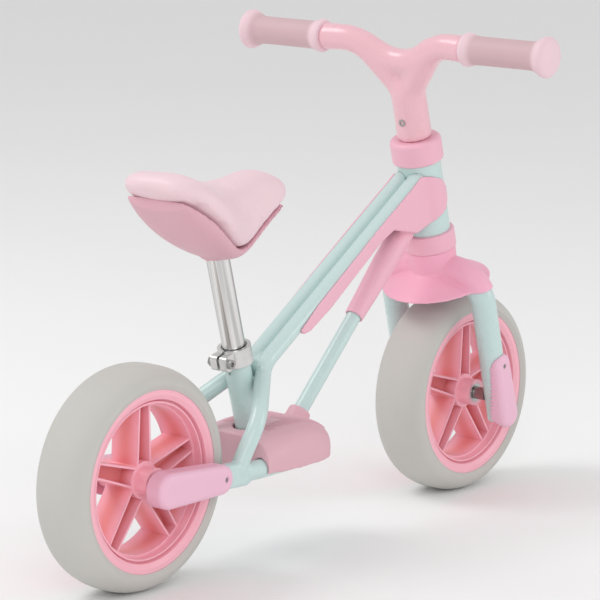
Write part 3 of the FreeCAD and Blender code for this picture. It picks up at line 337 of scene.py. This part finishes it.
def rim_plastic(name, colour, painted_translucent_tone):
    """Rim plastic with a painted deeper tone on the webs in the middle of the wheel, standing in for light passing
    through the thin plastic.
    """
    material, tree, shader = new_material(name)
    coordinates = tree.nodes.new("ShaderNodeTexCoord")
    parts = tree.nodes.new("ShaderNodeSeparateXYZ")
    tree.links.new(coordinates.outputs["Object"], parts.inputs["Vector"])
    depth = tree.nodes.new("ShaderNodeMath")
    depth.operation = "ABSOLUTE"
    tree.links.new(parts.outputs["Y"], depth.inputs[0])
    band = tree.nodes.new("ShaderNodeMapRange")
    band.interpolation_type = "SMOOTHSTEP"
    band.inputs["From Min"].default_value = 1.0 * MM
    band.inputs["From Max"].default_value = 17.0 * MM
    band.inputs["To Min"].default_value = 1.0
    band.inputs["To Max"].default_value = 0.0
    tree.links.new(depth.outputs["Value"], band.inputs["Value"])
    # painted light: the middle webs take the deeper tone that stands in for light through the thin plastic
    tone = two_tone(tree, band.outputs["Result"], colour, painted_translucent_tone)
    tree.links.new(tone, shader.inputs["Base Color"])
    tree.links.new(spread(tree, noise(tree, 60.0), 0.36, 0.44), shader.inputs["Roughness"])
    shader.inputs["Subsurface Weight"].default_value = 0.12
    shader.inputs["Subsurface Radius"].default_value = (0.006, 0.0025, 0.002)
    shader.inputs["Subsurface Scale"].default_value = 1.0
    bump(tree, shader, noise(tree, 1300.0, 2.0), 0.00005, 0.1, 0.9 * MM)
    return material


def make_materials():
    mint = rgb(196, 219, 216)
    return {
        "tyre": foam("tyre_foam", rgb(196, 194, 189)),
        # the rim's second colour is a painted deeper tone for light through the thin webs
        "rim": rim_plastic("rim_plastic", rgb(250, 182, 196), rgb(236, 148, 150)),
        "frame_paint": painted("mint_paint", mint),
        "shell_pink": moulded("shell_plastic", rgb(238, 182, 199), edge=1.2 * MM),
        "footrest_pink": moulded("footrest_plastic", rgb(222, 175, 186), 0.5),
        "cover_lilac": moulded("end_cover_plastic", rgb(238, 189, 210)),
        "crown_pink": moulded("crown_plastic", rgb(244, 178, 201)),
        "bar_pink": painted("bar_paint", rgb(236, 186, 196)),
        "grip": rubber("grip_rubber", rgb(207, 174, 179), rgb(234, 203, 211)),
        "saddle_skin": skin("saddle_skin", rgb(237, 208, 215)),
        "saddle_shell": moulded("saddle_shell_plastic", rgb(220, 172, 184), 0.5),
        # the post's strong dark lengthwise streaks are painted reflections on the chrome, along with its polishing
        # marks
        "post_steel": metal(
            "post_steel", (0.86, 0.85, 0.84, 1.0), 0.16, (0.25, 0.25, 20.0), dark_streak_and_reflection=0.22
        ),
        "clamp_alloy": metal(
            "clamp_alloy", (0.74, 0.73, 0.72, 1.0), 0.36, (1, 1, 1), 0.2, 0.8 * MM
        ),
        "hardware": metal("zinc_steel", (0.42, 0.41, 0.40, 1.0), 0.34, (1, 1, 1), 0.2, 0.4 * MM),
        "bush": moulded("bush_nylon", rgb(60, 60, 62)),
        "bearing": metal("bearing_steel", (0.55, 0.55, 0.55, 1.0), 0.3, (1, 1, 1), 0.1, 0.3 * MM),
    }


def paint(obj, material):
    obj.data.materials.clear()
    obj.data.materials.append(material)


# ---- pieces that stand for CAD nodes ----
def finish_piece(obj, body, slot, *nodes):
    paint(obj, MATERIALS[slot])
    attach(obj, body)
    if nodes:
        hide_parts(*nodes)


def build_handlebar():
    """Y bar whose arms flow out of the stem."""
    bar = copy_of(["handlebar"], "bar_formed")
    fill_creases(bar, 1.6 * MM, 5.0 * MM)
    grow(bar, 0.7 * MM)
    arms_height = 118 * MM
    stem_top = along_steering(BAR_HIGH) - arms_height
    grip_start = GRIP_LOW.y

    def weight(point):
        up = ramp(along_steering(point), stem_top, stem_top + 22 * MM)
        out = 1.0 - ramp(abs(point.y), grip_start - 22 * MM, grip_start - 4 * MM)
        return up * out

    relax(bar, 70, weight)
    relax(bar, 3)
    finish_piece(bar, "steering", "bar_pink", "handlebar")


def lathe(profile, centre, name, steps=72):
    """Closed surface turned about a line along Y. profile lists (y, radius)."""
    bm = bmesh.new()
    rings = []
    for y, radius in profile:
        ring = []
        for k in range(steps):
            turn = 2 * math.pi * k / steps
            x = centre.x + radius * math.cos(turn)
            z = centre.z + radius * math.sin(turn)
            ring.append(bm.verts.new((x, y, z)))
        rings.append(ring)
    for a, b in zip(rings, rings[1:]):
        for k in range(steps):
            following = (k + 1) % steps
            bm.faces.new((a[k], b[k], b[following], a[following]))
    bm.faces.new(rings[0])
    bm.faces.new(list(reversed(rings[-1])))
    bmesh.ops.recalc_face_normals(bm, faces=bm.faces)
    return from_bmesh(bm, name)


def smooth_curve(points, steps=8):
    """Points of a Catmull-Rom curve through the given (y, radius) points."""
    ends = [points[0]] + points + [points[-1]]
    curve = []
    for a, b, c, d in zip(ends, ends[1:], ends[2:], ends[3:]):
        for k in range(steps):
            t = k / steps
            place = []
            for i in range(2):
                line = 2 * b[i] + (c[i] - a[i]) * t
                square = (2 * a[i] - 5 * b[i] + 4 * c[i] - d[i]) * t * t
                cube = (3 * b[i] - a[i] - 3 * c[i] + d[i]) * t ** 3
                place.append((line + square + cube) / 2)
            curve.append(tuple(place))
    curve.append(points[-1])
    return curve


def build_grips():
    """Soft grips: a rolled lip, a waisted sleeve and a domed end."""
    start = GRIP_LOW.y
    end = GRIP_HIGH.y
    centre = (GRIP_LOW + GRIP_HIGH) / 2
    flange = (GRIP_HIGH.z - GRIP_LOW.z) / 2
    sleeve = flange * 0.70
    lip = flange * 0.835
    outline = [
        (start, lip * 0.80),
        (start + 1.0 * MM, lip * 0.93),
        (start + 5.0 * MM, lip),
        (start + 10.0 * MM, lip * 0.93),
        (start + 16.0 * MM, sleeve * 1.02),
        (start + 30.0 * MM, sleeve),
        (end - 34.0 * MM, sleeve),
        (end - 22.0 * MM, sleeve * 1.06),
        (end - 15.0 * MM, flange * 0.88),
        (end - 9.5 * MM, flange * 0.985),
        (end - 6.0 * MM, flange * 0.97),
        (end - 3.0 * MM, flange * 0.82),
        (end - 1.2 * MM, flange * 0.55),
        (end - 0.3 * MM, flange * 0.22),
        (end, 0.02 * MM),
    ]
    profile = smooth_curve(outline)
    for name, side in (("left", 1), ("right", -1)):
        turned = [(side * y, max(r, 0.02 * MM)) for y, r in profile]
        grip = lathe(turned, centre, "grip_sleeve_" + name)
        smooth_shaded(grip)
        finish_piece(grip, "steering", "grip", "grip_" + name)


def build_frame_pod():
    """Moulded side shells and the sleeve that grows out of them."""
    nodes = ["frame_shell_left", "frame_shell_right", "down_tube_sleeve"]
    pod = copy_of(nodes, "frame_pod")
    remesh(pod, 1.3 * MM)
    relax(pod, 9)
    finish_piece(pod, "frame", "shell_pink", *nodes)


def build_welded_frame():
    """Main tubes, stays, bow and gusset as one piece, softened where they meet."""
    nodes = ["main_tube_left", "main_tube_right", "chainstay_left", "chainstay_right"]
    nodes += ["bottom_bow", "seat_tube_gusset"]
    welded = copy_of(nodes, "frame_welded")
    remesh(welded, 1.2 * MM)
    relax(welded, 5)
    finish_piece(welded, "frame", "frame_paint", *nodes)


def build_crown_cover():
    cover = copy_of(["fork_crown_cover"], "crown_hat")
    remesh(cover, 1.2 * MM)
    relax(cover, 6)
    finish_piece(cover, "steering", "crown_pink", "fork_crown_cover")


def build_footrest():
    """Footrest hump with its cross ribs."""
    hump = copy_of(["footrest"], "footrest_hump")
    remesh(hump, 1.4 * MM)
    relax(hump, 5)
    low, high = (Vector(c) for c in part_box("footrest"))
    body = bmesh.new()
    body.from_mesh(hump.data)
    surface = BVHTree.FromBMesh(body)
    ribs = bmesh.new()
    pitch = 4.6 * MM
    count = 22
    longest = 37 * MM
    taper = 9 * MM
    middle = low.x + 0.54 * (high.x - low.x)
    post_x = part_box("seat_tube")[0][0] * 0.2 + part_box("seat_tube")[1][0] * 0.8
    for k in range(count):
        x = middle + (k - (count - 1) / 2) * pitch
        reach = longest - taper * abs(k / (count - 1) - 0.4)
        clear_centre = x > middle + 17 * MM or x < post_x + 20 * MM
        for side in (1, -1):
            start = 20 * MM if clear_centre else 0.5 * MM
            add_rib(ribs, surface, x, side, start, reach)
    body.free()
    rib_piece = from_bmesh(ribs, "footrest_ribs")
    smooth_shaded(rib_piece)
    finish_piece(hump, "frame", "footrest_pink", "footrest")
    finish_piece(rib_piece, "frame", "footrest_pink")


def add_rib(ribs, surface, x, side, start, reach):
    """Half-round rib laid on the surface, from start to reach off the centre."""
    steps = 14
    radius = 1.15 * MM
    above = 0.3
    rings = []
    for k in range(steps + 1):
        y = side * (start + (reach - start) * k / steps)
        hit, normal, _, _ = surface.ray_cast(Vector((x, y, above)), Vector((0, 0, -1)))
        if hit is None or normal.z < 0.2:
            continue
        scale = min(1.0, 0.25 + min(k, steps - k) / 1.5)
        ring = []
        for j in range(RIB_SIDES):
            turn = 2 * math.pi * j / RIB_SIDES
            offset = Vector((math.cos(turn), 0, 0)) + normal * math.sin(turn) * 0.9
            ring.append(ribs.verts.new(hit + offset * radius * scale))
        rings.append(ring)
    if len(rings) < 3:
        return
    for a, b in zip(rings, rings[1:]):
        for j in range(RIB_SIDES):
            following = (j + 1) % RIB_SIDES
            ribs.faces.new((a[j], a[following], b[following], b[j]))
    ribs.faces.new(list(reversed(rings[0])))
    ribs.faces.new(rings[-1])


def build_end_covers():
    for name, body in (
        ("rear_end_cover_left", "frame"),
        ("rear_end_cover_right", "frame"),
        ("fork_end_cover_left", "steering"),
        ("fork_end_cover_right", "steering"),
    ):
        cover = copy_of([name], name + "_moulded")
        remesh(cover, 1.1 * MM)
        relax(cover, 6)
        finish_piece(cover, body, "cover_lilac", name)


def build_saddle_base():
    base = copy_of(["saddle_base"], "saddle_dish")
    remesh(base, 1.6 * MM)
    relax(base, 8)
    seam_lift = 1.6 * MM
    for vertex in base.data.vertices:
        if vertex.normal.z > 0.5:
            vertex.co.z += seam_lift
    base.data.update()
    finish_piece(base, "seat", "saddle_shell", "saddle_base")


def build_saddle_pad():
    """Foam pad under a stretched skin, puffed by a cloth simulation."""
    pad = copy_of(["saddle_pad"], "saddle_cushion")
    remesh(pad, 5.0 * MM)
    relax(pad, 4)
    shrink = 1.2 * MM
    cap = 5.0 * MM
    grow(pad, -shrink)
    puff(pad, cap)
    subdivide = pad.modifiers.new("subdivide", "SUBSURF")
    subdivide.levels = 1
    bake_modifiers(pad)
    relax(pad, 2)
    finish_piece(pad, "seat", "saddle_skin", "saddle_pad")


def puff(obj, cap):
    """Inflates a closed mesh as cloth and caps how far each point moves."""
    rest = [v.co.copy() for v in obj.data.vertices]
    modifier = obj.modifiers.new("cloth", "CLOTH")
    settings = modifier.settings
    settings.use_pressure = True
    settings.uniform_pressure_force = PUFF_PRESSURE
    settings.effector_weights.gravity = 0.0
    settings.tension_stiffness = 20.0
    settings.compression_stiffness = 20.0
    settings.bending_stiffness = 2.0
    modifier.point_cache.frame_start = 1
    modifier.point_cache.frame_end = PUFF_FRAMES
    scene = bpy.context.scene
    for moment in range(1, PUFF_FRAMES + 1):
        scene.frame_set(moment)
    graph = bpy.context.evaluated_depsgraph_get()
    swollen = obj.evaluated_get(graph).data
    moved = [v.co.copy() for v in swollen.vertices]
    obj.modifiers.clear()
    scene.frame_set(1)
    for vertex, start, end in zip(obj.data.vertices, rest, moved):
        step = end - start
        if step.length > cap:
            step *= cap / step.length
        vertex.co = start + step
    obj.data.update()


# ---- studio ----
def build_floor():
    size = 40.0
    bpy.ops.mesh.primitive_plane_add(size=size, location=(0, 0, 0))
    floor = bpy.context.object
    floor.name = "studio_floor"
    material, tree, shader = new_material("studio_floor")
    tone = two_tone(tree, noise(tree, 2.0), (0.93, 0.93, 0.93, 1), (0.95, 0.95, 0.95, 1))
    tree.links.new(tone, shader.inputs["Base Color"])
    shader.inputs["Roughness"].default_value = 0.85
    paint(floor, material)


def area_light(name, place, target, size, power):
    data = bpy.data.lights.new(name, "AREA")
    data.shape = "DISK"
    data.size = size
    data.energy = power
    light = link(bpy.data.objects.new(name, data))
    light.location = place
    light.rotation_euler = (Vector(target) - Vector(place)).to_track_quat("-Z", "Y").to_euler()


def build_lights():
    middle = (0.0, 0.0, 0.25)
    area_light("key", (-1.2, 1.6, 2.6), middle, 1.6, 28.0)
    area_light("fill", (-2.4, -2.2, 1.6), middle, 2.0, 20.0)
    area_light("side", (1.6, -2.4, 1.2), middle, 1.4, 11.5)
    world = bpy.data.worlds.new("studio")
    world.use_nodes = True
    background = world.node_tree.nodes["Background"]
    background.inputs["Color"].default_value = (1.0, 1.0, 1.0, 1.0)
    background.inputs["Strength"].default_value = 0.70
    bpy.context.scene.world = world
    bpy.context.scene.view_settings.view_transform = "Standard"


def build_camera():
    """Camera behind the bike on its right, above it and looking slightly down."""
    place = Vector((-2.5154, -1.9802, 0.8885))
    yaw = 0.6685
    pitch = -0.1917
    roll = 0.0170
    forward = Vector(
        (math.cos(yaw) * math.cos(pitch), math.sin(yaw) * math.cos(pitch), math.sin(pitch))
    )
    side = forward.cross(Vector((0, 0, 1))).normalized()
    up = side.cross(forward)
    right = side * math.cos(roll) + up * math.sin(roll)
    top = up * math.cos(roll) - side * math.sin(roll)
    data = bpy.data.cameras.new("camera")
    data.sensor_width = 36.0
    data.lens = 177.03
    data.clip_end = 50.0
    camera = link(bpy.data.objects.new("camera", data))
    turn = Matrix((right, top, -forward)).transposed().to_4x4()
    camera.matrix_world = Matrix.Translation(place) @ turn
    bpy.context.scene.camera = camera


# ---- build ----
MATERIALS = make_materials()
for entry in frame["record"]["subparts"]:
    paint(frame["nodes"][entry["node"]], MATERIALS[entry["material_slot"]])

build_handlebar()
build_grips()
build_frame_pod()
build_welded_frame()
build_crown_cover()
build_footrest()
build_end_covers()
build_saddle_base()
build_saddle_pad()
build_floor()
build_lights()
build_camera()
